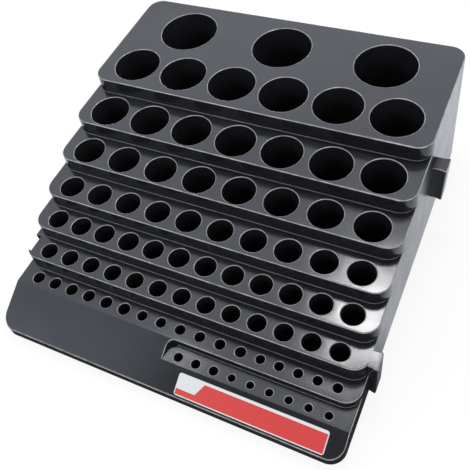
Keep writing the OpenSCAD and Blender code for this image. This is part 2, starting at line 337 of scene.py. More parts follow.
@dataclass(frozen=True)
class GlossMoulding:
    """Gloss black plastic, satin on its sides, with flow haze, dust and pale edges, which are a
    painted highlight with some edge wear.
    """

    black: Colour = (0.011, 0.0116, 0.0135)
    haze: Colour = (0.016, 0.0168, 0.0195)
    dust: Colour = (0.15, 0.152, 0.155)
    # worn: pale colour along rounded edges and riser feet, a painted highlight with some edge wear
    # on outer edges.
    worn: Colour = (0.5, 0.505, 0.52)
    flow: Grain = Grain(24.0, 4.0, 0.35, 0.7, stretch=(1.0, 2.6, 1.0))
    cloud: Grain = Grain(90.0, 5.0, 0.3, 0.75)
    specks: Grain = Grain(2600.0, 1.0, 0.70, 0.76)
    rubs: Grain = Grain(60.0, 3.0, 0.60, 0.72, stretch=(9.0, 0.5, 0.5))
    wear: Grain = Grain(350.0, 3.0, 0.3, 0.65)
    wear_and_highlight_least: float = 0.5
    dust_cover: float = 0.4
    fine_peel: Grain = Grain(700.0)
    broad_peel: Grain = Grain(170.0)
    broad_share: float = 0.4
    peel: Relief = Relief(0.10, 0.08)
    roughness: float = 0.17
    cloud_roughness: float = 0.06
    rub_roughness: float = 0.04
    speck_roughness: float = 0.3
    side_roughness: float = 0.09
    side_from: float = 0.75
    side_full: float = 0.9
    ior: float = 1.54

    def material(self) -> bpy.types.Material:
        """Build the node tree.

        Returns:
            The finished material.
        """
        paint = Painter("gloss_black_moulding")
        cloud = paint.grain(self.cloud)
        specks = paint.grain(self.specks) * cloud
        # Painted highlight: the pale_edge attribute lays the pale colour along edges and riser feet
        # where highlights fall, varied by a wear noise.
        edge = paint.wire(paint.node("Attribute", {"attribute_name": PALE}), "Fac")
        worn = self.wear_and_highlight_least + (1.0 - self.wear_and_highlight_least) * paint.grain(self.wear)
        colour = paint.mix(paint.grain(self.flow), self.black, self.haze)
        colour = paint.mix(specks * self.dust_cover, colour, self.dust)
        colour = paint.mix(edge * worn, colour, self.worn)
        peel = paint.noise(self.fine_peel) + self.broad_share * paint.noise(self.broad_peel)
        paint.bump(peel, self.peel)
        across = paint.wire(paint.node("SeparateXYZ", Vector=paint.facing()), "X")
        side = (across * across).ramp(self.side_from, self.side_full)
        rough = self.roughness + self.cloud_roughness * cloud + self.speck_roughness * specks
        rough = rough + self.rub_roughness * paint.grain(self.rubs) + self.side_roughness * side
        return paint.surface(Base_Color=colour, Roughness=rough, IOR=self.ior)


@dataclass(frozen=True)
class GrainedMoulding:
    """Spark-grained black plastic of the bottom cover."""

    black: Colour = (0.018, 0.018, 0.02)
    worn: Colour = (0.034, 0.034, 0.036)
    rub: Grain = Grain(36.0, 5.0, 0.45, 0.7)
    spark: Grain = Grain(2200.0)
    relief: Relief = Relief(0.35, 0.12)
    roughness: float = 0.52
    spark_roughness: float = 0.12
    rub_polish: float = 0.08

    def material(self) -> bpy.types.Material:
        """Build the node tree.

        Returns:
            The finished material.
        """
        paint = Painter("grained_black_cover")
        rub = paint.grain(self.rub)
        spark = paint.noise(self.spark)
        paint.bump(spark, self.relief)
        rough = self.roughness + self.spark_roughness * spark - self.rub_polish * rub
        return paint.surface(Base_Color=paint.mix(rub, self.black, self.worn), Roughness=rough)


@dataclass(frozen=True)
class FootRubber:
    """Matt rubber with a bloom of dust."""

    black: Colour = (0.03, 0.03, 0.031)
    bloom: Colour = (0.075, 0.074, 0.072)
    cloud: Grain = Grain(260.0, 4.0, 0.4, 0.75)
    tooth: Grain = Grain(1800.0)
    relief: Relief = Relief(0.3, 0.1)
    roughness: float = 0.78
    cloud_roughness: float = 0.1

    def material(self) -> bpy.types.Material:
        """Build the node tree.

        Returns:
            The finished material.
        """
        paint = Painter("foot_rubber")
        cloud = paint.grain(self.cloud)
        paint.bump(paint.noise(self.tooth), self.relief)
        colour = paint.mix(cloud, self.black, self.bloom)
        rough = self.roughness + self.cloud_roughness * cloud
        return paint.surface(Base_Color=colour, Roughness=rough)


@dataclass(frozen=True)
class ScrewSteel:
    """Zinc-plated steel, clouded by handling."""

    zinc: Colour = (0.58, 0.59, 0.61)
    dull: Colour = (0.42, 0.42, 0.43)
    cloud: Grain = Grain(900.0, 3.0, 0.35, 0.7)
    roughness: float = 0.30
    cloud_roughness: float = 0.18

    def material(self) -> bpy.types.Material:
        """Build the node tree.

        Returns:
            The finished material.
        """
        paint = Painter("zinc_plated_steel")
        cloud = paint.grain(self.cloud)
        colour = paint.mix(cloud, self.zinc, self.dull)
        rough = self.roughness + self.cloud_roughness * cloud
        return paint.surface(Base_Color=colour, Roughness=rough, Metallic=1.0)


@dataclass(frozen=True)
class LabelPrint:
    """Vinyl sticker: a red field in a white edge, with a white end and a white top band."""

    red: Colour = (0.60, 0.045, 0.042)
    deep_red: Colour = (0.565, 0.04, 0.038)
    white: Colour = (0.64, 0.65, 0.65)
    mottle: Grain = Grain(420.0, 3.0, 0.3, 0.7)
    ripple: Grain = Grain(900.0)
    relief: Relief = Relief(0.08, 0.05)
    roughness: float = 0.34
    mottle_roughness: float = 0.1
    edge: float = 0.45
    top_band: float = 1.35
    white_end: float = 8.6
    end_slant: float = 0.63
    white_foot: float = 2.9

    def material(self, low: Vector, high: Vector) -> bpy.types.Material:
        """Build the node tree.

        Args:
            low: Lowest corner of the sticker, in mm in the frame of the CAD.
            high: Highest corner of the sticker.

        Returns:
            The finished material.
        """
        paint = Painter("label_print")
        size = high - low
        along = paint.axis("X") - low.x
        up = paint.axis("Y") - low.y
        beside_end = (along - self.end_slant * up).above(self.white_end)
        under_end = up.below(self.white_foot)
        inked = (beside_end + under_end).clamped()
        inked = inked * along.above(self.edge) * along.below(size.x - self.edge)
        inked = inked * up.above(self.edge) * up.below(size.y - self.top_band)
        mottle = paint.grain(self.mottle)
        colour = paint.mix(inked, self.white, paint.mix(mottle, self.red, self.deep_red))
        paint.bump(paint.noise(self.ripple), self.relief)
        rough = self.roughness + self.mottle_roughness * mottle
        return paint.surface(Base_Color=colour, Roughness=rough)


@dataclass(frozen=True)
class TableTop:
    """White table that glows for the moulding's reflections: painted shade before its front and
    painted light behind it, brighter further back.

    The distances are measured from the body's front towards its back.
    """

    white: Colour = (0.86, 0.86, 0.86)
    shaded: Colour = (0.847, 0.847, 0.847)
    mirrored: Colour = (0.90, 0.93, 1.0)
    cloud: Grain = Grain(3.0, 2.0, 0.3, 0.7)
    roughness: float = 0.9
    lift: float = 0.88
    mirror_dark: float = 0.05
    mirror_bright: float = 1.06
    mirror_far: float = 1.48
    dark_until: float = 40.0
    bright_from: float = 75.0
    far_from: float = 130.0
    far_to: float = 230.0

    def material(self, front: float) -> bpy.types.Material:
        """Build the node tree.

        Args:
            front: Place of the body's front along Y, in mm in the frame of the CAD.

        Returns:
            The finished material.
        """
        paint = Painter("white_table")
        white = paint.mix(paint.grain(self.cloud), self.white, self.shaded)
        paint.surface(Base_Color=white, Roughness=self.roughness)
        path = paint.node("LightPath")
        seen = paint.wire(path, "Is Camera Ray")
        mirror = paint.wire(path, "Is Glossy Ray") + paint.wire(path, "Is Transmission Ray")
        mirror = mirror.clamped()
        # Painted shade and light for glossy rays: the table glows dark before the body's front and
        # brighter behind it.
        depth = paint.axis("Y") - front
        back = depth.ramp(self.dark_until, self.bright_from)
        far = depth.ramp(self.far_from, self.far_to)
        bright = self.mirror_dark + (self.mirror_bright - self.mirror_dark) * back
        bright = bright + (self.mirror_far - self.mirror_bright) * far
        brightest = tuple(self.mirror_far * part for part in self.mirrored)
        image = paint.mix(bright * (1.0 / self.mirror_far), BLACK, brightest)
        glow = paint.node("Emission", Color=paint.mix(mirror, WHITE, image))
        blend = paint.node("MixShader")
        paint.feed(blend, 0, (seen * self.lift + mirror).clamped())
        paint.feed(blend, 1, paint.wire(paint.shader))
        paint.feed(blend, 2, paint.wire(glow))
        paint.feed(paint.output, "Surface", paint.wire(blend))
        return paint.material


class Skin:
    """A mesh under construction, in the body's own frame."""

    def __init__(self, origin: Vector) -> None:
        """Start an empty mesh.

        Args:
            origin: The body frame's origin in the frame of the CAD, in mm.
        """
        self.origin = origin
        self.points: list[Point] = []
        self.pale: list[float] = []
        self.faces: list[tuple[int, ...]] = []

    def ring(self, points: Iterable[Point], pale: float = 0.0) -> list[int]:
        """Add a row of points.

        Args:
            points: The points in order.
            pale: How pale the surface is painted along the row: a painted highlight, with some edge
                wear.

        Returns:
            The points' numbers.
        """
        start = len(self.points)
        self.points.extend(points)
        self.pale.extend([pale] * (len(self.points) - start))
        return list(range(start, len(self.points)))

    def loft(
        self, rows: Sequence[Sequence[Point]], closed: bool = False, pale: Sequence[float] = ()
    ) -> None:
        """Join rows of equal length with quads.

        Args:
            rows: The rows, from the deck's side down where they go round the outside.
            closed: Whether the last points of the rows join the first ones.
            pale: How pale the surface is painted along each row: a painted highlight, with some
                edge wear.
        """
        shades = pale or [0.0] * len(rows)
        rings = [self.ring(row, shade) for row, shade in zip(rows, shades)]
        count = len(rings[0])
        for first, second in zip(rings, rings[1:]):
            for i in range(count if closed else count - 1):
                j = (i + 1) % count
                self.faces.append((first[i], second[i], second[j], first[j]))

    def sheet(
        self, outlines: Sequence[Sequence[Plan]], lift: Callable[[Plan], Point], facing: Point
    ) -> None:
        """Fill a flat outline with holes.

        Args:
            outlines: The outer outline and then the holes, in any flat frame.
            lift: Turns a point of that frame into a point of the body.
            facing: Direction that the faces look in.
        """
        flat = [[Vector((u, v, 0.0)) for u, v in outline] for outline in outlines]
        numbers = self.ring(lift(point) for outline in outlines for point in outline)
        way = Vector(facing)
        for triangle in tessellate_polygon(flat):
            a, b, c = (Vector(self.points[numbers[i]]) for i in triangle)
            corners = tuple(numbers[i] for i in triangle)
            area = (b - a).cross(c - a).dot(way)
            if abs(area) > LEAST_AREA:
                self.faces.append(corners if area > 0 else corners[::-1])

    def level_sheet(self, outlines: Sequence[Sequence[Plan]], z: float, way: int = 1) -> None:
        """Fill an outline with holes at one height, to face up or, with way -1, down."""
        self.sheet(outlines, lambda p: (p[0], p[1], z), (0, 0, way))

    def mesh(self, name: str, material: bpy.types.Material) -> bpy.types.Mesh:
        """Make the plain mesh.

        Args:
            name: The mesh's name.
            material: Its finish.

        Returns:
            The mesh, in metres in the frame of the CAD.
        """
        mesh = bpy.data.meshes.new(name)
        mesh.from_pydata([(Vector(p) + self.origin) * MM for p in self.points], [], self.faces)
        mesh.attributes.new(PALE, "FLOAT", "POINT").data.foreach_set("value", self.pale)
        mesh.materials.append(material)
        return mesh

    def piece(
        self,
        name: str,
        material: bpy.types.Material,
        slot: Slot,
        node: str,
        sharp_deg: float = 32.0,
    ) -> bpy.types.Object:
        """Weld the mesh and make an object that rides on the body in a CAD node's place.

        Args:
            name: The piece's name.
            material: Its finish.
            slot: The record's slot of that finish; not used.
            node: The CAD node that the piece stands for.
            sharp_deg: Edges that bend more than this stay sharp.

        Returns:
            The new object.
        """
        mesh = self.mesh(name, material)
        build = bmesh.new()
        build.from_mesh(mesh)
        bmesh.ops.remove_doubles(build, verts=build.verts, dist=WELD * MM)
        bmesh.ops.dissolve_degenerate(build, edges=build.edges, dist=SHORTEST_EDGE * MM)
        for face in build.faces:
            face.smooth = True
        sharp = math.radians(sharp_deg)
        for edge in build.edges:
            edge.smooth = len(edge.link_faces) == 2 and edge.calc_face_angle() < sharp
        build.to_mesh(mesh)
        build.free()
        piece = bpy.data.objects.new(name, mesh)
        bpy.context.scene.collection.objects.link(piece)
        even = piece.modifiers.new("even_shading", "WEIGHTED_NORMAL")
        even.keep_sharp = True
        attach(piece, BODY)
        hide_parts(node)
        return piece


@dataclass(frozen=True)
class Socket:
    """One bore for a bit, in the body's frame."""

    x: float
    y: float
    top: float
    radius: float
    floor: float


@dataclass(frozen=True)
class Rim:
    """A point on the upper edge of a wall, with the wall's outward direction in plan."""

    x: float
    y: float
    out_x: float
    out_y: float

    def moved(self, out: float) -> Plan:
        """Return the point moved outwards in plan."""
        return self.x + self.out_x * out, self.y + self.out_y * out


def plan(row: Iterable[Point]) -> list[Plan]:
    """Return a row of points without their heights."""
    return [(x, y) for x, y, _ in row]


def clipped(line: Sequence[Plan], reach: float) -> list[Plan]:
    """Cut a line off where it leaves the strip between -reach and reach across.

    Args:
        line: The points in order.
        reach: Half of the strip's width.

    Returns:
        The points inside the strip and the points where the line crosses its edges.
    """
    kept = [point for point in line[:1] if abs(point[0]) <= reach]
    for (x0, y0), (x1, y1) in zip(line, line[1:]):
        if (abs(x0) > reach) != (abs(x1) > reach):
            edge = math.copysign(reach, max(x0, x1, key=abs))
            kept.append((edge, y0 + (y1 - y0) * (edge - x0) / (x1 - x0)))
        if abs(x1) <= reach:
            kept.append((x1, y1))
    return kept


def circle(x: float, y: float, radius: float, count: int) -> list[Plan]:
    """Return the points of a circle, anticlockwise from above."""
    turns = (2 * math.pi * i / count for i in range(count))
    return [(x + radius * math.cos(turn), y + radius * math.sin(turn)) for turn in turns]


def mitred(points: Sequence[Plan]) -> list[Rim]:
    """Return the rim along a broken line.

    Args:
        points: Corners of the line; the outside is on the right of its direction.

    Returns:
        One rim point per corner, which moves out along the corner's bisector.
    """
    spots = [Vector(p) for p in points]
    ways = [(b - a).normalized() for a, b in zip(spots, spots[1:])]
    outs = [Vector((way.y, -way.x)) for way in ways]
    rim = []
    for spot, before, after in zip(spots, [outs[0], *outs], [*outs, outs[-1]]):
        lean = (before + after) / (1 + before.dot(after))
        rim.append(Rim(spot.x, spot.y, lean.x, lean.y))
    return rim


def rounded(points: Sequence[Plan], radius: float, steps: int) -> list[Plan]:
    """Round the outward corners of a broken line.

    Args:
        points: Corners of the line; the outside is on the right of its direction.
        radius: Radius of the roundings.
        steps: Number of parts of each rounding.

    Returns:
        The points of the rounded line.
    """
    spots = [Vector(p) for p in points]
    line = [points[0]]
    for before, corner, after in zip(spots, spots[1:], spots[2:]):
        come, go = (corner - before).normalized(), (after - corner).normalized()
        turn = math.atan2(come.x * go.y - come.y * go.x, come.dot(go))
        if turn <= 0:
            line.append(tuple(corner))
            continue
        out = Vector((come.y, -come.x))
        axis = corner - come * radius * math.tan(turn / 2) - out * radius
        for i in range(steps + 1):
            arm = Matrix.Rotation(turn * i / steps, 2) @ out
            line.append(tuple(axis + arm * radius))
    return [*line, points[-1]]


@dataclass(frozen=True)
class Dovetail:
    """Cross-section that the rails and the channels share."""

    neck_half: float = 4.0
    flare: float = 0.75
    length: float = 3.0
    play: float = 0.2
    end_gap: float = 1.2

    @property
    def tail_half(self) -> float:
        """Return half of the rail's width at its end."""
        return self.neck_half + self.flare

    def slot_half(self, depth: float) -> float:
        """Return half of a slot's width at a distance out from the slot's back."""
        taper = max(0.0, self.length + self.end_gap - depth)
        return self.neck_half + self.play + self.flare / self.length * taper


@dataclass
class BodyForm:
    """Main sizes of the stepped body, read from the CAD where it holds them.

    Each entry of mouth_sides is a radius and the number of sides of the bores over it.
    """

    draft: float = 0.04
    corner_r: float = 8.0
    wall: float = 2.2
    edge_r: float = 0.5
    mouth_r: float = 0.45
    foot_r: float = 0.4
    # foot_highlight: pale colour along the hollow foot of each riser, a painted highlight.
    foot_highlight: float = 0.3
    corner_steps: int = 10
    edge_steps: int = 4
    level_step: float = 0.01
    mouth_sides: tuple[tuple[float, int], ...] = ((7.0, 64), (3.5, 40), (0.0, 28))
    tiers: tuple[str, ...] = (
        "top_tier",
        "second_tier",
        "third_tier",
        "fourth_tier",
        "fifth_tier",
        "sixth_tier",
        "seventh_tier",
    )
    origin: Vector = field(init=False)
    skirt_z: float = field(init=False)
    depth: float = field(init=False)
    base_half: float = field(init=False)
    deck_z: list[float] = field(init=False)
    front_y: list[float] = field(init=False)
    ledge_z: float = field(init=False)
    sockets: list[Socket] = field(init=False)

    def __post_init__(self) -> None:
        """Read the heights, the front edges and the sockets."""
        low, high = (Vector(corner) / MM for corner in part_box("front_apron"))
        self.origin = Vector(((low.x + high.x) / 2, low.y, 0.0))
        self.skirt_z = low.z
        self.base_half = (high.x - low.x) / 2
        boxes = [self.box(name) for name in self.tiers]
        self.depth = boxes[0][1].y
        self.deck_z = [top.z for _, top in boxes]
        self.front_y = [top.y for _, top in boxes[1:]] + [high.y - low.y]
        self.sockets = [self._socket(m) for m in frame["record"]["mounts"] if m["kind"] == "bore"]
        self.ledge_z = min(s.top for s in self.sockets)

    def _socket(self, mount: dict[str, object]) -> Socket:
        """Return one bore mount as a socket of the body.

        Args:
            mount: The record's mount.

        Returns:
            The socket, in the body's frame.
        """
        x, y, z = Vector(mount["pos_m"]) / MM - self.origin
        half = mount["dims"]["length_mm"] / 2
        return Socket(x, y, z + half, mount["dims"]["r_mm"], z - half)

    def box(self, node: str) -> tuple[Vector, Vector]:
        """Return a CAD node's lowest and highest corners in the body's frame."""
        low, high = (Vector(corner) / MM - self.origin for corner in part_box(node))
        return low, high

    def mount(self, name: str) -> Vector:
        """Return the place of one of the record's mounts in the body's frame."""
        places = {mount["name"]: mount["pos_m"] for mount in frame["record"]["mounts"]}
        return Vector(places[name]) / MM - self.origin

    def half_w(self, z: float) -> float:
        """Return half of the body's width at a height."""
        return self.base_half - self.draft * (z - self.skirt_z)

    def back_y(self, z: float) -> float:
        """Return the distance of the back wall at a height."""
        return self.depth - self.draft * (z - self.skirt_z)

    def foot_z(self, tier: int) -> float:
        """Return the height of the deck or ledge that a tier's riser stands on."""
        return self.deck_z[tier + 1] if tier + 1 < len(self.deck_z) else self.ledge_z

    def corner(
        self, x: float, y: float, start_deg: float, end_deg: float, radius: float | None = None
    ) -> list[Rim]:
        """Return the rim of a round corner.

        Args:
            x: Place of the corner's axis.
            y: Place of the corner's axis.
            start_deg: Direction of the first point from the axis.
            end_deg: Direction of the last point.
            radius: Radius of the corner; negative for an inner corner.

        Returns:
            The points in order.
        """
        size = self.corner_r if radius is None else radius
        side = math.copysign(1.0, size)
        rim = []
        for i in range(self.corner_steps + 1):
            angle = math.radians(start_deg + (end_deg - start_deg) * i / self.corner_steps)
            across, along = math.cos(angle), math.sin(angle)
            spot = (x + abs(size) * across, y + abs(size) * along)
            rim.append(Rim(*spot, side * across, side * along))
        return rim

    def front_corners(self, half: float, front: float) -> list[Rim]:
        """Return the two round front corners of an outline.

        Args:
            half: Half of the outline's width.
            front: Distance of its front.

        Returns:
            The points from its left wall round to its right wall.
        """
        axis_x, axis_y = half - self.corner_r, front + self.corner_r
        return self.corner(-axis_x, axis_y, 180, 270) + self.corner(axis_x, axis_y, 270, 360)

    def front_rim(self, tier: int) -> list[Rim]:
        """Return the front edge of a deck, from its left wall round to its right wall."""
        return self.front_corners(self.half_w(self.deck_z[tier]), self.front_y[tier])

    def turns(self) -> list[float]:
        """Return the steps of a rounding, from 0 to 1."""
        return [i / self.edge_steps for i in range(self.edge_steps + 1)]

    def quarter(self, radius: float) -> list[Plan]:
        """Return the (inset, drop) pairs of a rounded edge, from its top to its side."""
        angles = [math.pi / 2 * (1 - turn) for turn in self.turns()]
        return [(radius * (1 - math.cos(a)), radius * (1 - math.sin(a))) for a in angles]

    def edge_rows(
        self,
        rim: Sequence[Rim],
        top: Callable[[Plan], float],
        radius: float | None = None,
        draft: float | None = None,
    ) -> list[list[Point]]:
        """Return the rows of a rounded upper edge.

        Args:
            rim: The sharp edge that the rounding replaces.
            top: Height of the deck over a point in plan.
            radius: Radius of the rounding, if it isn't the usual one.
            draft: Lean of the wall under it, if it isn't the usual one.

        Returns:
            Rows of points, from the deck's side to the wall's.
        """
        size = self.edge_r if radius is None else radius
        lean = self.draft if draft is None else draft
        rows = []
        for inset, drop in self.quarter(size):
            spots = [point.moved(lean * drop - inset) for point in rim]
            rows.append([(x, y, top((x, y)) - drop) for x, y in spots])
        return rows

    def pale_rows(self, strength: float = 1.0) -> list[float]:
        """Return how pale each row of a rounding is painted, most along its middle: a painted
        highlight, with some wear on outer edges.
        """
        return [strength * math.sin(math.pi * turn) ** 2 for turn in self.turns()]

    def foot_row(
        self, rim: Sequence[Rim], deck_z: float, foot_z: float, turn: float
    ) -> list[Point]:
        """Return one row of the hollow rounding at a riser's foot.

        Args:
            rim: The riser's upper edge.
            deck_z: Height of that edge.
            foot_z: Height of the deck in front.
            turn: 0 where the rounding leaves the riser and 1 where it meets the deck.

        Returns:
            The row of points.
        """
        angle = turn * math.pi / 2
        row = []
        for point in rim:
            size = self.foot_r * abs(point.out_y)
            lean = self.draft * (deck_z - foot_z - size)
            x, y = point.moved(lean + size * (1 - math.cos(angle)))
            rise = size * (1 - math.sin(angle)) - self.edge_drop(x, foot_z)
            row.append((x, y, foot_z + rise))
        return row

    def flat_half(self, z: float) -> float:
        """Return half of the width of a deck's flat, inside its rounded edges."""
        return self.half_w(z) - self.edge_r

    def edge_drop(self, x: float, z: float) -> float:
        """Return how far a deck's rounded side edge falls below the deck at a place across."""
        over = min(self.edge_r, max(0.0, abs(x) - self.flat_half(z)))
        return self.edge_r - math.sqrt(self.edge_r**2 - over**2)

    def wall_point(self, side: Side) -> Callable[[Plan], Point]:
        """Return a function that puts a (distance, height) pair on a side wall."""
        return lambda p: (side.value * self.half_w(p[1]), p[0], p[1])

    def add_wall(self, skin: Skin, side: Side, outline: Sequence[Plan]) -> None:
        """Add a stretch of side wall, given as (distance, height) pairs."""
        skin.sheet([outline], self.wall_point(side), (side.value, 0, 0))

    def add_skirt(self, skin: Skin, side: Side, front: float, back: float) -> None:
        """Add the underside of a side wall.

        Args:
            skin: The mesh to add it to.
            side: Which wall.
            front: Distance where the stretch starts.
            back: Distance where it ends.
        """
        outer = side.value * self.base_half
        inner = outer - side.value * self.wall
        strip = [(outer, front), (outer, back), (inner, back), (inner, front)]
        skin.level_sheet([strip], self.skirt_z, -1)

    def add_deck(self, skin: Skin, outline: Sequence[Plan], z: float) -> None:
        """Add a deck's flat with the sockets that open in it.

        Args:
            skin: The mesh to add it to.
            outline: The flat's outer edge.
            z: Height of the deck.
        """
        mouths = []
        for socket in self.sockets:
            if abs(socket.top - z) < self.level_step:
                rows = self.socket_rows(socket)
                skin.loft([row[::-1] for row in rows], True, [*self.pale_rows(), 0.0])
                mouths.append(plan(rows[0]))
        skin.level_sheet([outline, *mouths], z)

    def socket_rows(self, socket: Socket) -> list[list[Point]]:
        """Return the rows of a socket.

        Args:
            socket: The bore.

        Returns:
            The rows of its rounded mouth and then the foot of its wall.
        """
        count = next(sides for least, sides in self.mouth_sides if socket.radius > least)
        steps = self.quarter(self.mouth_r)
        levels = [(socket.radius + out, socket.top - drop) for out, drop in steps]
        levels.append((socket.radius, socket.floor))
        return [[(x, y, z) for x, y in circle(socket.x, socket.y, r, count)] for r, z in levels]


@dataclass
class Tier:
    """One step of the body: a deck with its sockets, its riser and its stretch of side wall."""

    form: BodyForm
    name: str
    finish: bpy.types.Material

    @property
    def number(self) -> int:
        """Return the tier's number, from 0 at the top."""
        return self.form.tiers.index(self.name)

    @property
    def top(self) -> float:
        """Return the height of the deck."""
        return self.form.deck_z[self.number]

    @property
    def foot(self) -> float:
        """Return the height of the deck or ledge in front."""
        return self.form.foot_z(self.number)

    @property
    def front(self) -> float:
        """Return the distance of the deck's front edge."""
        return self.form.front_y[self.number]

    @property
    def back(self) -> float:
        """Return the distance of the front edge of the tier behind."""
        return self.form.front_y[self.number - 1]

    def level(self, _: Plan) -> float:
        """Return the height of the deck, which is the same all over."""
        return self.top

    def back_line(self) -> list[Plan]:
        """Return the deck's back edge, which is the foot of the riser behind it.

        Returns:
            The points from right to left.
        """
        form, behind = self.form, self.number - 1
        row = form.foot_row(form.front_rim(behind), form.deck_z[behind], self.top, 1.0)
        return clipped(plan(reversed(row)), form.flat_half(self.top))

    def rim(self) -> list[Rim]:
        """Return the deck's outer edge.

        Returns:
            The points from the back of its left side to the back of its right side.
        """
        half = self.form.half_w(self.top)
        end_y = self.back + self.form.corner_r
        front = self.form.front_rim(self.number)
        return [Rim(-half, end_y, -1, 0), *front, Rim(half, end_y, 1, 0)]

    def add_edge(self, skin: Skin, rim: Sequence[Rim], closed: bool = False) -> list[list[Point]]:
        """Add the deck's rounded edge along a rim.

        Args:
            skin: The mesh to add it to.
            rim: The sharp edge that the rounding replaces.
            closed: Whether the rim's last point joins its first one.

        Returns:
            Rows of points, from the deck's side to the wall's.
        """
        rows = self.form.edge_rows(rim, self.level)
        skin.loft(rows, closed, self.form.pale_rows())
        return rows

    def add_riser(self, skin: Skin, rim: Sequence[Rim]) -> None:
        """Add the riser under a stretch of the rim, down to its hollow foot.

        Args:
            skin: The mesh to add it to.
            rim: The riser's upper edge.
        """
        form = self.form
        rows = [form.foot_row(rim, self.top, self.foot, turn) for turn in form.turns()]
        upper = form.edge_rows(rim, self.level)[-1]
        skin.loft([upper, *rows], pale=[0.0, *form.pale_rows(form.foot_highlight)])

    def side_outline(self, side: Side) -> list[Plan]:
        """Return the side wall.

        Args:
            side: Which wall.

        Returns:
            Its outline as (distance, height) pairs.
        """
        form = self.form
        crest, foot = self.top - form.edge_r, self.foot - form.edge_r
        bend = self.front + form.corner_r
        return [
            *self.side_foot(side),
            (self.back, form.skirt_z),
            (self.back, crest),
            (bend, crest),
            (bend, foot),
            *self.side_front(side, foot),
        ]

    def side_foot(self, side: Side) -> list[Plan]:
        """Return the lower front corner of the side wall."""
        return [(self.front, self.form.skirt_z)]

    def side_front(self, side: Side, foot: float) -> list[Plan]:
        """Return the upper front corner of the side wall, under the deck in front."""
        return [(self.front, foot)]

    def add_sides(self, skin: Skin) -> None:
        """Add the two stretches of side wall with their undersides.

        Args:
            skin: The mesh to add them to.
        """
        for side in Side:
            self.form.add_wall(skin, side, self.side_outline(side))
            self.form.add_skirt(skin, side, self.front, self.back)

    def add_top(self, skin: Skin) -> None:
        """Add the deck, its rounded edge and its riser.

        Args:
            skin: The mesh to add them to.
        """
        rim = self.rim()
        rows = self.add_edge(skin, rim)
        self.form.add_deck(skin, plan(rows[0][1:-1]) + self.back_line(), self.top)
        self.add_riser(skin, rim[1:-1])

    def build(self) -> bpy.types.Object:
        """Build the tier in the CAD node's place.

        Returns:
            The new piece.
        """
        skin = Skin(self.form.origin)
        self.add_top(skin)
        self.add_sides(skin)
        return skin.piece(self.name + "_moulding", self.finish, Slot.BODY, self.name)


@dataclass
class TopTier(Tier):
    """The highest step, with the back wall and all four corners round."""

    channel: str = "upper_link_channel"

    @property
    def back(self) -> float:
        """Return the distance where the round back corners start."""
        return self.form.back_y(self.top) - self.form.corner_r

    def add_top(self, skin: Skin) -> None:
        """Add the deck, its rounded edge, its riser and the back wall.

        Args:
            skin: The mesh to add them to.
        """
        form = self.form
        axis_x = form.half_w(self.top) - form.corner_r
        front = form.front_rim(self.number)
        back = form.corner(axis_x, self.back, 0, 90) + form.corner(-axis_x, self.back, 90, 180)
        rows = self.add_edge(skin, front + back, closed=True)
        form.add_deck(skin, plan(rows[0]), self.top)
        self.add_riser(skin, front)
        lean = form.draft * (self.top - form.skirt_z)
        outer = [(*p.moved(lean), form.skirt_z) for p in back]
        inner = [(*p.moved(lean - form.wall), form.skirt_z) for p in back]
        skin.loft([rows[-1][len(front):], outer, inner])

    def side_foot(self, side: Side) -> list[Plan]:
        """Return the foot of the side wall, open round the upper channel on the left.

        Args:
            side: Which wall.

        Returns:
            The points from the front to the back, as (distance, height) pairs.
        """
        start = super().side_foot(side)
        if side is Side.RIGHT:
            return start
        low, high = self.form.box(self.channel)
        skirt = self.form.skirt_z
        return [*start, (low.y, skirt), (low.y, high.z), (high.y, high.z), (high.y, skirt)]

    def add_sides(self, skin: Skin) -> None:
        """Add the two side walls with their undersides, clear of the channel.

        Args:
            skin: The mesh to add them to.
        """
        low, high = self.form.box(self.channel)
        for side in Side:
            self.form.add_wall(skin, side, self.side_outline(side))
        self.form.add_skirt(skin, Side.RIGHT, self.front, self.back)
        self.form.add_skirt(skin, Side.LEFT, self.front, low.y)
        self.form.add_skirt(skin, Side.LEFT, high.y, self.back)


@dataclass
class ChannelTier(Tier):
    """The step whose left end is taken by the lower channel."""

    channel: str = "lower_link_channel"

    def add_top(self, skin: Skin) -> None:
        """Add the deck beside and behind the channel, its rounded edges and its riser.

        Args:
            skin: The mesh to add them to.
        """
        form = self.form
        _, high = form.box(self.channel)
        whole = self.rim()
        start = Rim(high.x, self.front, 0, -1)
        rim = [start, *(p for p in whole[1:] if p.x > high.x)]
        rows = self.add_edge(skin, rim)
        back = self.back_line()
        behind = [p for p in back if p[0] > high.x]
        form.add_deck(skin, [*plan(rows[0][:-1]), *behind, (high.x, behind[-1][1])], self.top)
        self.add_riser(skin, rim[:-1])
        stub = self.add_edge(skin, [whole[0], Rim(whole[0].x, high.y, -1, 0)])
        curve = [p for p in back if p[0] < high.x and p[1] > high.y]
        skin.level_sheet([[*plan(stub[0][1:]), (curve[0][0], high.y), *curve]], self.top)

    def add_sides(self, skin: Skin) -> None:
        """Add the right stretch of side wall with its underside."""
        self.form.add_wall(skin, Side.RIGHT, self.side_outline(Side.RIGHT))
        self.form.add_skirt(skin, Side.RIGHT, self.front, self.back)


@dataclass
class BesideChannelTier(Tier):
    """The step behind the channel, whose left wall starts at the channel's back."""

    channel: str = "lower_link_channel"

    def side_foot(self, side: Side) -> list[Plan]:
        """Return the lower front corner of the side wall.

        Args:
            side: Which wall.

        Returns:
            The points from the front to the back, as (distance, height) pairs.
        """
        if side is Side.RIGHT:
            return super().side_foot(side)
        start = self.form.box(self.channel)[1].y
        return [(start, self.foot - self.form.edge_r), (start, self.form.skirt_z)]

    def side_front(self, side: Side, foot: float) -> list[Plan]:
        """Return the upper front corner of the side wall, which the channel takes on the left."""
        return super().side_front(side, foot) if side is Side.RIGHT else []


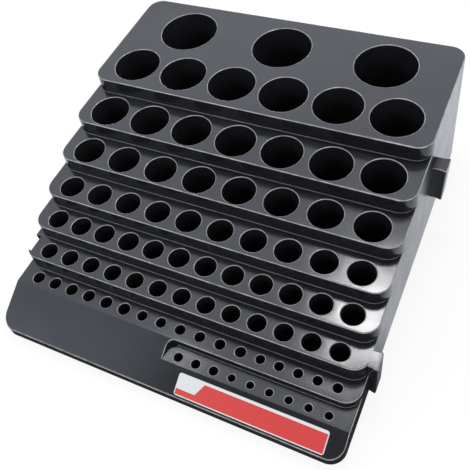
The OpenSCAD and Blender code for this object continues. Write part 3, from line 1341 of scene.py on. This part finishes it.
@dataclass
class ApronForm:
    """Sizes of the slope, the lip and the ledge that is cut into them."""

    form: BodyForm
    lip_h: float = 5.5
    ledge_start: float = 0.0
    ledge_r: float = 4.0

    @property
    def crease_y(self) -> float:
        """Return the distance of the crease between the lowest deck and the slope."""
        return self.form.front_y[-1]

    @property
    def deck_z(self) -> float:
        """Return the height of the lowest deck."""
        return self.form.deck_z[-1]

    @property
    def lip_y(self) -> float:
        """Return the distance of the lip's upper edge."""
        return self.form.draft * self.lip_h

    @property
    def lip_z(self) -> float:
        """Return the height of the lip's upper edge."""
        return self.form.skirt_z + self.lip_h

    @property
    def fall(self) -> float:
        """Return the slope's rise per step back."""
        return (self.deck_z - self.lip_z) / (self.crease_y - self.lip_y)

    def slope_z(self, y: float) -> float:
        """Return the height of the slope at a distance from the lip."""
        return self.lip_z + self.fall * (y - self.lip_y)

    def top_z(self, p: Plan) -> float:
        """Return the height of the slope, or of the deck behind the crease."""
        return min(self.deck_z, self.slope_z(p[1]))

    @property
    def ledge_y(self) -> float:
        """Return the distance of the ledge's front edge."""
        return self.lip_y + (self.form.ledge_z - self.lip_z) / self.fall

    def notch_rim(self) -> list[Rim]:
        """Return the ledge's left end.

        Returns:
            The points from its front round to the riser.
        """
        radius = self.ledge_r
        axis_x, axis_y = self.ledge_start + radius, self.crease_y - radius
        bend = self.form.corner(axis_x, axis_y, 180, 90, -radius)
        return [Rim(self.ledge_start, self.ledge_y, 1, 0), *bend]

    def riser_rim(self) -> list[Rim]:
        """Return the lowest deck's edge over the ledge, from the notch to the right wall."""
        rim = self.form.front_rim(len(self.form.tiers) - 1)
        return [self.notch_rim()[-1], *rim[len(rim) // 2:]]

    def crossing(self, row: Sequence[Point]) -> Plan:
        """Find where a row of points crosses the crease.

        Args:
            row: The points, from the front to the back.

        Returns:
            The crossing, in plan.
        """
        for (x0, y0, _), (x1, y1, _) in zip(row, row[1:]):
            if y0 <= self.crease_y < y1:
                return x0 + (x1 - x0) * (self.crease_y - y0) / (y1 - y0), self.crease_y
        return row[-1][0], self.crease_y


@dataclass
class LowestTier(Tier):
    """The lowest deck, which ends at the crease on the left and at the ledge's riser."""

    apron: ApronForm
    channel: str = "lower_link_channel"

    def add_top(self, skin: Skin) -> None:
        """Add the deck, its rounded edges and the riser over the ledge.

        Args:
            skin: The mesh to add them to.
        """
        form, apron = self.form, self.apron
        low, high = form.box(self.channel)
        half = form.half_w(self.top)
        left = self.add_edge(skin, [Rim(-half, low.y, -1, 0), Rim(-half, self.front, -1, 0)])
        riser = apron.riser_rim()
        right = self.add_edge(skin, [*riser, Rim(half, self.back + form.corner_r, 1, 0)])
        notch = form.edge_rows(apron.notch_rim(), apron.top_z)[0]
        outline = [*plan(left[0]), apron.crossing(notch)]
        outline += [p for p in plan(notch) if p[1] > self.front + SHORTEST_EDGE]
        outline += plan(right[0][1:-1])
        outline += [p for p in self.back_line() if p[0] > form.corner_r - half]
        form.add_deck(skin, [*outline, (high.x, low.y)], self.top)
        self.add_riser(skin, riser)

    def side_outline(self, side: Side) -> list[Plan]:
        """Return the side wall, which has no round corner on the left.

        Args:
            side: Which wall.

        Returns:
            Its outline as (distance, height) pairs.
        """
        if side is Side.RIGHT:
            return super().side_outline(side)
        crest = self.top - self.form.edge_r
        low, high = (self.front, self.form.skirt_z), (self.back, self.form.skirt_z)
        return [low, high, (self.back, crest), (self.front, crest)]


@dataclass
class FrontApron:
    """The slope with its lip, the notch and the ledge."""

    form: BodyForm
    shape: ApronForm
    finish: bpy.types.Material
    node: str = "front_apron"

    def build(self) -> bpy.types.Object:
        """Build the apron in the CAD node's place.

        Returns:
            The new piece.
        """
        form, shape = self.form, self.shape
        skin = Skin(form.origin)
        lip = form.front_corners(form.base_half, 0.0)
        left = Rim(-form.base_half, shape.crease_y, -1, 0)
        right = Rim(form.base_half, shape.ledge_y, 1, 0)
        rows = self.leaning_edge([left, *lip, right])
        skin.loft(rows, pale=form.pale_rows())
        foot = [(p.x, p.y, form.skirt_z) for p in lip]
        skin.loft([rows[-1][1:-1], foot, [(*p.moved(-form.wall), form.skirt_z) for p in lip]])
        notch = shape.notch_rim()
        notch_rows = form.edge_rows(notch, shape.top_z)
        skin.loft(notch_rows, pale=form.pale_rows())
        floor = [(p.x, p.y, form.ledge_z) for p in notch]
        skin.loft([notch_rows[-1], floor])
        inner = [p for p in plan(notch_rows[0]) if p[1] <= shape.crease_y]
        outline = [*plan(rows[0]), *inner, shape.crossing(notch_rows[0])]
        skin.sheet([outline], lambda p: (p[0], p[1], shape.slope_z(p[1])), (0, 0, 1))
        self.add_ledge(skin, plan(floor), rows[0][-1][:2])
        for side in Side:
            form.add_wall(skin, side, self.side_outline(side))
            form.add_skirt(skin, side, form.corner_r, shape.crease_y)
        return skin.piece(self.node + "_moulding", self.finish, Slot.BODY, self.node)

    def leaning_edge(self, rim: Sequence[Rim]) -> list[list[Point]]:
        """Return the rounded edge round the slope, over walls that lean from the skirt up.

        Args:
            rim: The walls' outline at the skirt.

        Returns:
            Rows of points, from the slope's side to the wall's.
        """
        form, shape = self.form, self.shape
        leans = [form.draft * (shape.slope_z(point.y) - form.skirt_z) for point in rim]
        rows = []
        for inset, drop in form.quarter(form.edge_r):
            spots = [point.moved(-lean - inset) for point, lean in zip(rim, leans)]
            rows.append([(x, y, shape.slope_z(y) - drop) for x, y in spots])
        return rows

    def add_ledge(self, skin: Skin, notch: Sequence[Plan], corner: Plan) -> None:
        """Add the ledge with its sockets, and its edge along the right wall.

        Args:
            skin: The mesh to add it to.
            notch: The ledge's left end, from the front to the riser.
            corner: The slope's upper right corner.
        """
        form, shape = self.form, self.shape
        half = form.half_w(form.ledge_z)
        ends = [Rim(half, shape.ledge_y, 1, 0), Rim(half, shape.crease_y + form.corner_r, 1, 0)]
        side = form.edge_rows(ends, lambda _: form.ledge_z)
        skin.loft(side, pale=form.pale_rows())
        riser = form.foot_row(shape.riser_rim(), shape.deck_z, form.ledge_z, 1.0)
        back = clipped(plan(riser), form.flat_half(form.ledge_z))
        form.add_deck(skin, [*notch, *back, *plan(side[0][:1]), corner], form.ledge_z)

    def side_outline(self, side: Side) -> list[Plan]:
        """Return the apron's stretch of side wall.

        Args:
            side: Which wall.

        Returns:
            Its outline as (distance, height) pairs.
        """
        form, shape = self.form, self.shape
        start = [(form.corner_r, form.skirt_z), (shape.crease_y, form.skirt_z)]
        front = (form.corner_r, shape.slope_z(form.corner_r) - form.edge_r)
        if side is Side.LEFT:
            return [*start, (shape.crease_y, shape.deck_z - form.edge_r), front]
        foot = form.ledge_z - form.edge_r
        return [*start, (shape.crease_y, foot), (shape.ledge_y, foot), front]


@dataclass
class LinkRail:
    """A dovetail rail on the right wall, with soft edges."""

    form: BodyForm
    link: Dovetail
    finish: bpy.types.Material
    node: str
    edge_r: float = 0.45
    corner_r: float = 0.6

    def build(self) -> bpy.types.Object:
        """Build the rail in the CAD node's place, from just inside the wall.

        Returns:
            The new piece.
        """
        form, link = self.form, self.link
        low, high = form.box(self.node)
        middle = (low.y + high.y) / 2
        root, tail = form.half_w(high.z) - form.edge_r, high.x - link.length
        half = [(root, link.neck_half), (tail, link.neck_half), (high.x, link.tail_half)]
        corners = [(x, middle - y) for x, y in half] + [(x, middle + y) for x, y in reversed(half)]
        rim = mitred(rounded(corners, self.corner_r, form.edge_steps))
        upper = form.edge_rows(rim, lambda _: high.z, self.edge_r, 0.0)
        lower = [[(x, y, low.z + high.z - z) for x, y, z in row] for row in reversed(upper)]
        skin = Skin(form.origin)
        skin.loft([*upper, *lower], pale=form.pale_rows() * 2)
        skin.level_sheet([plan(upper[0])], high.z)
        skin.level_sheet([plan(upper[0])], low.z, -1)
        return skin.piece(self.node + "_moulding", self.finish, Slot.BODY, self.node)


@dataclass
class LowerChannel:
    """The dovetail channel that ends in two lips at the left of the sixth deck."""

    form: BodyForm
    link: Dovetail
    finish: bpy.types.Material
    tier: str = "sixth_tier"
    node: str = "lower_link_channel"
    mount: str = "lower_channel"
    edge_r: float = 0.25
    halvings: int = 40

    @property
    def number(self) -> int:
        """Return the number of the tier that the channel stands in."""
        return self.form.tiers.index(self.tier)

    @property
    def top(self) -> float:
        """Return the height of the sixth deck."""
        return self.form.deck_z[self.number]

    @property
    def foot(self) -> float:
        """Return the height of the deck in front."""
        return self.form.foot_z(self.number)

    @property
    def web_x(self) -> float:
        """Return the distance of the slot's back from the middle of the body."""
        return -self.form.mount(self.mount).x

    def slot_y(self, x: float, way: int) -> float:
        """Return the distance of the slot's front side (way -1) or back side (way 1)."""
        return self.form.mount(self.mount).y + way * self.link.slot_half(x - self.web_x)

    def lip(self, place: Callable[[Rim], Point]) -> list[Point]:
        """Return a row along the front corner, from the lip's tip to the deck's front.

        Args:
            place: Turns a point of the corner's upper edge into a point of the row.

        Returns:
            The row; its first point is on the slot's front side.
        """
        form = self.form
        axis_x = form.corner_r - form.half_w(self.top)
        axis_y = form.front_y[self.number] + form.corner_r
        low, high = 180.0, 270.0
        for _ in range(self.halvings):
            tip = (low + high) / 2
            x, y, _z = place(form.corner(axis_x, axis_y, tip, tip)[0])
            low, high = (tip, high) if y > self.slot_y(-x, -1) else (low, tip)
        reach = (form.box(self.node)[1].x - axis_x) / form.corner_r
        end = 360.0 - math.degrees(math.acos(reach))
        return [place(point) for point in form.corner(axis_x, axis_y, tip, end)]

    def build(self) -> bpy.types.Object:
        """Build the channel in the CAD node's place.

        Returns:
            The new piece.
        """
        form = self.form
        skin = Skin(form.origin)
        _, high = form.box(self.node)
        front, outer = form.front_y[self.number], form.base_half
        half = form.half_w(self.top)
        slot = [(-self.web_x, self.slot_y(self.web_x, way)) for way in (1, -1)]
        wall = [(-half, high.y), (-half, self.slot_y(half, 1))]
        lip = plan(self.lip(lambda p: (p.x, p.y, self.top)))
        rim = [*mitred([*wall, *slot, *lip])[:-1], Rim(high.x, front, 0, -1)]
        rows = self.growing_edge(rim, len(lip))
        skin.loft(rows, pale=form.pale_rows())
        skin.level_sheet([[*plan(rows[0]), (high.x, high.y)]], self.top)
        base = [(-outer, high.y), (-outer, self.slot_y(outer, 1)), *slot]
        skin.loft([rows[-1][: len(base)], [(x, y, form.skirt_z) for x, y in base]])
        feet = [self.lip_foot(turn) for turn in form.turns()]
        skin.loft([rows[-1][len(base):], *feet], pale=[0.0, *form.pale_rows(form.foot_highlight)])
        self.add_front_side(skin, [rows[-1][len(base)], *(row[0] for row in feet)])
        self.add_shelf(skin)
        tip = (-outer, self.slot_y(outer, -1))
        under = [*base, tip, (-outer, front), (high.x, front), (high.x, high.y)]
        skin.level_sheet([under], form.skirt_z, -1)
        return skin.piece(self.node + "_moulding", self.finish, Slot.BODY, self.node)

    def lip_foot(self, turn: float) -> list[Point]:
        """Return one row of the hollow rounding at the lip's foot, from 0 to 1 down to the deck."""
        return self.lip(lambda p: self.form.foot_row([p], self.top, self.foot, turn)[0])

    def growing_edge(self, rim: Sequence[Rim], count: int) -> list[list[Point]]:
        """Return the upper edge, sharp round the slot and as round as the deck's at its end.

        Args:
            rim: The sharp edge that the rounding replaces.
            count: Number of points at the rim's end over which the rounding grows.

        Returns:
            Rows of points, from the deck's side to the wall's.
        """
        sharp = self.form.edge_rows(rim, lambda _: self.top, self.edge_r, 0.0)
        full = self.form.edge_rows(rim, lambda _: self.top)
        parts = [0.0] * (len(rim) - count) + [i / (count - 1) for i in range(count)]
        blend = [zip(first, second, parts) for first, second in zip(sharp, full)]
        return [[tuple(Vector(a).lerp(Vector(b), part)) for a, b, part in row] for row in blend]

    def add_front_side(self, skin: Skin, lip: Sequence[Point]) -> None:
        """Add the slot's front side.

        Args:
            skin: The mesh to add it to.
            lip: The points down the lip's tip to the deck in front.
        """
        form = self.form
        edge = Rim(form.half_w(self.foot), 0.0, 1, 0)
        outline = [(self.web_x, lip[0][2])]
        outline += [(-x, z) for x, _, z in lip]
        outline += [(x, z) for ((x, _, z),) in form.edge_rows([edge], lambda _: self.foot)]
        outline += [(form.base_half, form.skirt_z), (self.web_x, form.skirt_z)]
        skin.sheet([outline], lambda p: (-p[0], self.slot_y(p[0], -1), p[1]), (0, 1, 0))

    def add_shelf(self, skin: Skin) -> None:
        """Add the end of the deck in front, outside the round corner, and the wall under it.

        Args:
            skin: The mesh to add them to.
        """
        form = self.form
        half = form.half_w(self.foot)
        low, _ = form.box(self.node)
        tip = self.slot_y(half, -1)
        rim = [Rim(-half, tip, -1, 0), Rim(-half, low.y, -1, 0)]
        rows = form.edge_rows(rim, lambda _: self.foot)
        skin.loft(rows, pale=form.pale_rows())
        lean = form.draft * (self.top - self.foot)
        corner = self.lip(lambda p: (*p.moved(lean), self.foot))
        inside = [(x, max(y, low.y)) for x, y, _ in reversed(corner)]
        skin.level_sheet([[*plan(rows[0]), *inside]], self.foot)
        front, crest = form.front_y[self.number], self.foot - form.edge_r
        end = self.slot_y(form.base_half, -1)
        wall = [(front, form.skirt_z), (front, crest), (tip, crest), (end, form.skirt_z)]
        form.add_wall(skin, Side.LEFT, wall)


@dataclass
class UpperChannel:
    """The channel under the top tier's left wall, kept from the CAD."""

    finish: bpy.types.Material
    node: str = "upper_link_channel"

    def dress(self) -> bpy.types.Object:
        """Give the channel its finish and return it."""
        return wear(self.node, self.finish)


@dataclass
class Underside:
    """The cover, its screws and the feet."""

    cover_finish: bpy.types.Material
    foot_finish: bpy.types.Material
    screw_finish: bpy.types.Material
    cover: str = "bottom_cover"
    feet: tuple[str, ...] = (
        "front_left_foot",
        "front_right_foot",
        "rear_left_foot",
        "rear_right_foot",
    )
    foot_edge: float = 0.3
    screws: str = "cover_screws"
    head_r: float = 2.7
    shank_r: float = 1.4
    head_edge: float = 0.15
    thread_pitch: float = 0.9
    thread_depth: float = 0.25
    thread_start: float = 1.6
    point_r: float = 0.05
    arm: float = 1.55
    arm_half: float = 0.32
    recess: float = 0.9
    recess_taper: float = 0.55
    sides: int = 40

    def build(self) -> list[bpy.types.Object]:
        """Give the cover and the feet their finishes and build the screws.

        Returns:
            The pieces.
        """
        pieces = [wear(self.cover, self.cover_finish)]
        for name in self.feet:
            soften(frame["nodes"][name], self.foot_edge)
            pieces.append(wear(name, self.foot_finish))
        skin = Skin(Vector((0.0, 0.0, 0.0)))
        low, high = (Vector(corner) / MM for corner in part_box(self.screws))
        for x in (low.x + self.head_r, high.x - self.head_r):
            for y in (low.y + self.head_r, high.y - self.head_r):
                self.add_screw(skin, x, y, low.z, high.z)
        name = self.screws + "_zinc"
        return [*pieces, skin.piece(name, self.screw_finish, Slot.SCREWS, self.screws)]

    def add_screw(self, skin: Skin, x: float, y: float, bottom: float, top: float) -> None:
        """Add one countersunk screw with a cross recess, head down.

        Args:
            skin: The mesh to add it to.
            x: Place of the screw's axis.
            y: Place of the screw's axis.
            bottom: Height of the head's face.
            top: Height of the point.
        """
        cone, rim = bottom + self.head_r - self.shank_r, bottom + self.head_edge
        turned = [(self.head_r, bottom), (self.head_r, rim), (self.shank_r, cone)]
        core_r = self.shank_r - self.thread_depth
        z = bottom + self.thread_start
        while z < top - self.thread_pitch:
            turned += [(self.shank_r, z), (core_r, z + self.thread_pitch / 2)]
            z += self.thread_pitch
        turned.append((self.point_r, top))
        rows = [[(u, v, h) for u, v in circle(x, y, r, self.sides)] for r, h in turned]
        skin.loft([row[::-1] for row in rows], closed=True)
        end, half = self.arm, self.arm_half
        cross = []
        for u, v in ((1, 0), (0, 1), (-1, 0), (0, -1)):
            arm = ((end, -half), (end, half), (half, half))
            cross += [(p * u - q * v, p * v + q * u) for p, q in arm]
        mouth = [(x + u, y + v) for u, v in cross]
        skin.level_sheet([plan(rows[0]), mouth], bottom, -1)
        deep = [(x + self.recess_taper * u, y + self.recess_taper * v) for u, v in cross]
        floor = bottom + self.recess
        sides = [[(u, v, bottom) for u, v in mouth], [(u, v, floor) for u, v in deep]]
        skin.loft(sides, closed=True)
        skin.level_sheet([deep], floor, -1)


@dataclass
class Label:
    """The sticker on the slope, kept from the CAD."""

    finish: LabelPrint
    node: str = "label"

    def dress(self) -> bpy.types.Object:
        """Give the sticker its print and return it."""
        low, high = (Vector(corner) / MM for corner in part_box(self.node))
        return wear(self.node, self.finish.material(low, high))


def wear(node: str, material: bpy.types.Material) -> bpy.types.Object:
    """Put one material on every face of a CAD node.

    Args:
        node: The node's name.
        material: Its finish.

    Returns:
        The node's object.
    """
    piece = frame["nodes"][node]
    for slot in piece.material_slots:
        slot.link = "OBJECT"
        slot.material = material
    return piece


def soften(
    piece: bpy.types.Object, radius: float, steps: int = 3, sharp_deg: float = 40.0
) -> None:
    """Round a CAD node's sharp edges with modifiers.

    Args:
        piece: The node's object.
        radius: Radius of the edges.
        steps: Number of parts of each rounding.
        sharp_deg: Edges that bend more than this are rounded.
    """
    weld = piece.modifiers.new("weld", "WELD")
    weld.merge_threshold = SHORTEST_EDGE * MM
    bevel = piece.modifiers.new("soft_edges", "BEVEL")
    bevel.width = radius * MM
    bevel.segments = steps
    bevel.limit_method = "ANGLE"
    bevel.angle_limit = math.radians(sharp_deg)


@dataclass(frozen=True)
class Lamp:
    """A flat soft lamp that looks at a point; size is its width and height."""

    name: str
    place: Point
    target: Point
    size: Plan
    watts: float
    colour: Colour = WHITE

    def build(self, origin: Vector) -> None:
        """Add the lamp to the scene.

        Args:
            origin: The body frame's origin in the frame of the CAD, in mm.
        """
        data = bpy.data.lights.new(self.name, "AREA")
        data.shape = "RECTANGLE"
        data.size, data.size_y = (side * MM for side in self.size)
        data.energy = self.watts
        data.color = self.colour
        lamp = bpy.data.objects.new(self.name, data)
        aim = (Vector(self.target) - Vector(self.place)).to_track_quat("-Z", "Y")
        lamp.matrix_world = Matrix.LocRotScale((Vector(self.place) + origin) * MM, aim, None)
        bpy.context.scene.collection.objects.link(lamp)


@dataclass
class Studio:
    """Table, lamps, background and the photograph's camera."""

    origin: Vector
    table: TableTop = TableTop()
    table_half: float = 4000.0
    table_z: float = -0.02
    eye: Point = (119.6, -67.4, 284.2)
    target: Point = (14.79, 76.09, 40.0)
    roll_deg: float = -13.98
    focal_px: float = 617.2
    sensor: float = 36.0
    near_clip: float = 10.0
    sky_strength: float = 0.55
    sky_mirrored: float = 0.12
    lamps: tuple[Lamp, ...] = (
        Lamp(
            "deck_panel",
            place=(-260.0, 520.0, 760.0),
            target=(0.0, 100.0, 40.0),
            size=(1080.0, 900.0),
            watts=4.95,
            colour=(0.84, 0.88, 1.0),
        ),
        Lamp(
            "front_panel",
            place=(-580.0, -440.0, 610.0),
            target=(-60.0, 12.0, 12.0),
            size=(420.0, 420.0),
            watts=0.76,
            colour=(0.75, 0.81, 1.0),
        ),
        Lamp(
            "side_fill",
            place=(700.0, -250.0, 500.0),
            target=(0.0, 100.0, 30.0),
            size=(400.0, 400.0),
            watts=1.6,
        ),
        Lamp(
            "front_strip",
            place=(-300.0, -650.0, 470.0),
            target=(0.0, 90.0, 30.0),
            size=(800.0, 70.0),
            watts=1.5,
        ),
        Lamp(
            "back_strip",
            place=(-350.0, 950.0, 250.0),
            target=(0.0, 90.0, 30.0),
            size=(900.0, 70.0),
            watts=2.5,
        ),
        Lamp(
            "edge_window",
            place=(43.0, 235.0, 391.0),
            target=(88.0, 57.0, 36.5),
            size=(70.0, 70.0),
            watts=0.46,
        ),
        Lamp(
            "ledge_window",
            place=(-150.0, 114.0, 400.0),
            target=(10.0, 19.0, 13.3),
            size=(60.0, 40.0),
            watts=0.062,
        ),
    )

    def build(self) -> None:
        """Build the whole setting."""
        self.add_table()
        self.add_sky()
        self.add_camera()
        for lamp in self.lamps:
            lamp.build(self.origin)
        bpy.context.scene.view_settings.view_transform = "Standard"

    def add_table(self) -> None:
        """Add the white table top."""
        skin = Skin(self.origin)
        half = self.table_half
        square = [(-half, -half), (half, -half), (half, half), (-half, half)]
        skin.level_sheet([square], self.table_z)
        mesh = skin.mesh("table_top", self.table.material(self.origin.y))
        table = bpy.data.objects.new("table_top", mesh)
        bpy.context.scene.collection.objects.link(table)

    def add_sky(self) -> None:
        """Light the scene evenly and show white to the camera."""
        world = bpy.data.worlds.new("white_room")
        bpy.context.scene.world = world
        world.use_nodes = True
        graph = Graph(world.node_tree)
        path = graph.node("LightPath")
        seen, mirror = graph.wire(path, "Is Camera Ray"), graph.wire(path, "Is Glossy Ray")
        strength = self.sky_strength + (1.0 - self.sky_strength) * seen
        strength = strength - (self.sky_strength - self.sky_mirrored) * mirror
        room = graph.node("Background", Color=(*WHITE, 1.0), Strength=strength)
        graph.node("OutputWorld", Surface=graph.wire(room))

    def add_camera(self) -> None:
        """Add the camera at the photograph's viewing angle."""
        data = bpy.data.cameras.new("photo_camera")
        data.sensor_width = self.sensor
        data.lens = self.focal_px / IMAGE_SIDE_PX * self.sensor
        data.clip_start = self.near_clip * MM
        camera = bpy.data.objects.new("photo_camera", data)
        aim = (Vector(self.target) - Vector(self.eye)).to_track_quat("-Z", "Y")
        turn = aim @ Quaternion((0, 0, 1), math.radians(self.roll_deg))
        camera.matrix_world = Matrix.LocRotScale((Vector(self.eye) + self.origin) * MM, turn, None)
        bpy.context.scene.collection.objects.link(camera)
        bpy.context.scene.camera = camera


def main() -> None:
    """Build the holder's pieces in order, then the setting, and report each piece."""
    logging.basicConfig(level=logging.INFO, format="%(name)s: %(message)s")
    form, link = BodyForm(), Dovetail()
    apron = ApronForm(form)
    gloss = GlossMoulding().material()
    makers = [
        TopTier(form, "top_tier", gloss),
        Tier(form, "second_tier", gloss),
        Tier(form, "third_tier", gloss),
        Tier(form, "fourth_tier", gloss),
        BesideChannelTier(form, "fifth_tier", gloss),
        ChannelTier(form, "sixth_tier", gloss),
        LowestTier(form, "seventh_tier", gloss, apron),
        FrontApron(form, apron, gloss),
        LinkRail(form, link, gloss, "upper_link_rail"),
        LinkRail(form, link, gloss, "lower_link_rail"),
        LowerChannel(form, link, gloss),
    ]
    pieces = [maker.build() for maker in makers]
    pieces.append(UpperChannel(gloss).dress())
    grained, rubber, steel = GrainedMoulding(), FootRubber(), ScrewSteel()
    pieces += Underside(grained.material(), rubber.material(), steel.material()).build()
    pieces.append(Label(LabelPrint()).dress())
    for piece in pieces:
        LOG.info("%s: %d faces", piece.name, len(piece.data.polygons))
    Studio(form.origin).build()


if __name__ == "__main__":
    main()
